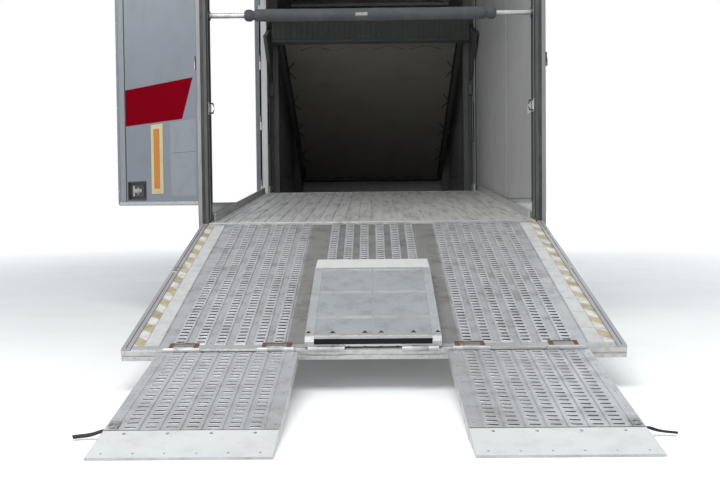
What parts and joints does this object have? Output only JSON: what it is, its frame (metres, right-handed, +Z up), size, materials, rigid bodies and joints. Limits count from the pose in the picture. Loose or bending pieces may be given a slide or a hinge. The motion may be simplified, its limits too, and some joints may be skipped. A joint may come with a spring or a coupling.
{
  "type": "car transporter truck",
  "caption": "Enclosed car transporter truck with lowered rear ramp, folding ramp flaps, side door leaves, tilting upper deck and forward-control cab.",
  "frame": {"origin": "on the ground under the middle of the bounding box", "axes": "+X to the truck's right, +Y forward, +Z up"},
  "size_m": [3.6812, 15.4924, 4],
  "materials": {
    "frame_paint": "satin",
    "axle_iron": "rough",
    "engine_iron": "rough",
    "tank_aluminium": "brushed",
    "black_plastic": "grained",
    "guard_aluminium": "satin",
    "flap_rubber": "matt",
    "tyre": "matt",
    "rim_paint": "satin",
    "box_white": "satin",
    "leaf_grey": "satin",
    "portal_aluminium": "satin",
    "floor_aluminium": "worn",
    "ramp_aluminium": "worn",
    "rod_steel": "worn",
    "foam": "matt",
    "deck_paint": "worn",
    "column_steel": "galvanised",
    "tarpaulin": "satin",
    "cab_paint": "gloss",
    "glass": "clear",
    "lamp_clear": "clear",
    "lamp_red": "clear",
    "cab_fabric": "woven",
    "dash_plastic": "grained",
    "webbing": "woven"
  },
  "bodies": {
    "chassis": {"chassis_frame": "frame_paint", "engine_block": "engine_iron", "front_axle": "axle_iron", "rear_axle": "axle_iron", "fuel_tank": "tank_aluminium", "battery_box": "black_plastic", "side_guards": "guard_aluminium", "mudguards": "flap_rubber", "box_floor": "floor_aluminium", "box_wall_left": "box_white", "box_wall_right": "box_white", "box_front_wall": "box_white", "box_roof": "box_white", "rear_portal": "portal_aluminium", "rear_lamps": "lamp_red", "cross_bar": "rod_steel", "bar_padding": "foam", "lift_columns": "column_steel", "deck_guides": "deck_paint", "cab_shell": "cab_paint", "windscreen": "glass", "cab_grille": "black_plastic", "roof_deflector": "cab_paint", "front_bumper": "black_plastic", "bumper_corner_left": "black_plastic", "bumper_corner_right": "black_plastic", "bumper_grille": "black_plastic", "headlamps": "lamp_clear", "cab_seats": "cab_fabric", "dashboard": "dash_plastic"},
    "cab_door_left": {"cab_door_left": "cab_paint", "door_glass_left": "glass", "mirror_left": "black_plastic"},
    "knuckle_left": {"knuckle_left": "axle_iron"},
    "wheel_front_left": {"tyre_front_left": "tyre", "rim_front_left": "rim_paint"},
    "wheels_rear_left": {"tyres_rear_left": "tyre", "rims_rear_left": "rim_paint"},
    "side_door_rear_left": {"side_door_rear_left": "leaf_grey"},
    "side_door_front_left": {"side_door_front_left": "leaf_grey"},
    "cab_door_right": {"cab_door_right": "cab_paint", "door_glass_right": "glass", "mirror_right": "black_plastic"},
    "knuckle_right": {"knuckle_right": "axle_iron"},
    "wheel_front_right": {"tyre_front_right": "tyre", "rim_front_right": "rim_paint"},
    "wheels_rear_right": {"tyres_rear_right": "tyre", "rims_rear_right": "rim_paint"},
    "side_door_rear_right": {"side_door_rear_right": "leaf_grey"},
    "side_door_front_right": {"side_door_front_right": "leaf_grey"},
    "ramp": {"ramp": "ramp_aluminium"},
    "flap_left": {"flap_left": "ramp_aluminium", "strap_left": "webbing"},
    "flap_right": {"flap_right": "ramp_aluminium", "strap_right": "webbing"},
    "flap_centre": {"flap_centre": "ramp_aluminium"},
    "upper_deck": {"deck_frame": "deck_paint", "deck_sheet": "tarpaulin"}
  },
  "joints": [
    {"name": "cab_door_left_hinge", "type": "hinge", "parent": "chassis", "child": "cab_door_left", "pos_m": [-0.88942, 7.33624, 2], "axis": [0, 0, -1], "range_deg": [0, 70]},
    {"name": "steer_left", "type": "hinge", "parent": "chassis", "child": "knuckle_left", "pos_m": [-0.56942, 6.34624, 0.463], "axis": [0, 0, 1], "range_deg": [-38, 38]},
    {"name": "spin_front_left", "type": "hinge", "parent": "knuckle_left", "child": "wheel_front_left", "pos_m": [-0.70942, 6.34624, 0.463], "axis": [1, 0, 0], "continuous": true},
    {"name": "spin_rear_left", "type": "hinge", "parent": "chassis", "child": "wheels_rear_left", "pos_m": [-0.69442, 0.02624, 0.463], "axis": [1, 0, 0], "continuous": true},
    {"name": "side_door_rear_left_hinge", "type": "hinge", "parent": "chassis", "child": "side_door_rear_left", "pos_m": [-0.91642, -3.78176, 2], "axis": [0, 0, 1], "range_deg": [-40.4, 79.6]},
    {"name": "side_door_front_left_hinge", "type": "hinge", "parent": "chassis", "child": "side_door_front_left", "pos_m": [-0.91642, 0.21024, 2], "axis": [0, 0, -1], "range_deg": [-180, 0]},
    {"name": "cab_door_right_hinge", "type": "hinge", "parent": "chassis", "child": "cab_door_right", "pos_m": [1.59058, 7.33624, 2], "axis": [0, 0, 1], "range_deg": [0, 70]},
    {"name": "steer_right", "type": "hinge", "parent": "chassis", "child": "knuckle_right", "pos_m": [1.27058, 6.34624, 0.463], "axis": [0, 0, 1], "range_deg": [-38, 38]},
    {"name": "spin_front_right", "type": "hinge", "parent": "knuckle_right", "child": "wheel_front_right", "pos_m": [1.41058, 6.34624, 0.463], "axis": [1, 0, 0], "continuous": true},
    {"name": "spin_rear_right", "type": "hinge", "parent": "chassis", "child": "wheels_rear_right", "pos_m": [1.39558, 0.02624, 0.463], "axis": [1, 0, 0], "continuous": true},
    {"name": "side_door_rear_right_hinge", "type": "hinge", "parent": "chassis", "child": "side_door_rear_right", "pos_m": [1.61758, -3.78176, 2], "axis": [0, 0, -1], "range_deg": [0, 120]},
    {"name": "side_door_front_right_hinge", "type": "hinge", "parent": "chassis", "child": "side_door_front_right", "pos_m": [1.61758, 0.21024, 2], "axis": [0, 0, 1], "range_deg": [0, 180]},
    {"name": "ramp_hinge", "type": "hinge", "parent": "chassis", "child": "ramp", "pos_m": [0.35058, -4.01876, 0.74], "axis": [-1, 0, 0], "range_deg": [0, 103.2]},
    {"name": "flap_left_hinge", "type": "hinge", "parent": "ramp", "child": "flap_left", "pos_m": [-0.35692, -6.46139, 0.20612], "axis": [-1, 0, 0], "range_deg": [0, 175.21]},
    {"name": "flap_right_hinge", "type": "hinge", "parent": "ramp", "child": "flap_right", "pos_m": [1.05808, -6.46139, 0.20612], "axis": [-1, 0, 0], "range_deg": [0, 175.21]},
    {"name": "flap_centre_hinge", "type": "hinge", "parent": "ramp", "child": "flap_centre", "pos_m": [0.35058, -6.46139, 0.20612], "axis": [-1, 0, 0], "range_deg": [-172.81, 0]},
    {"name": "deck_tilt", "type": "hinge", "parent": "chassis", "child": "upper_deck", "pos_m": [0.35058, 0.66624, 2.85], "axis": [1, 0, 0], "range_deg": [0, 22.4]}
  ],
  "couplings": [
    {"joint": "steer_right", "follows": "steer_left", "ratio": 1}
  ]
}
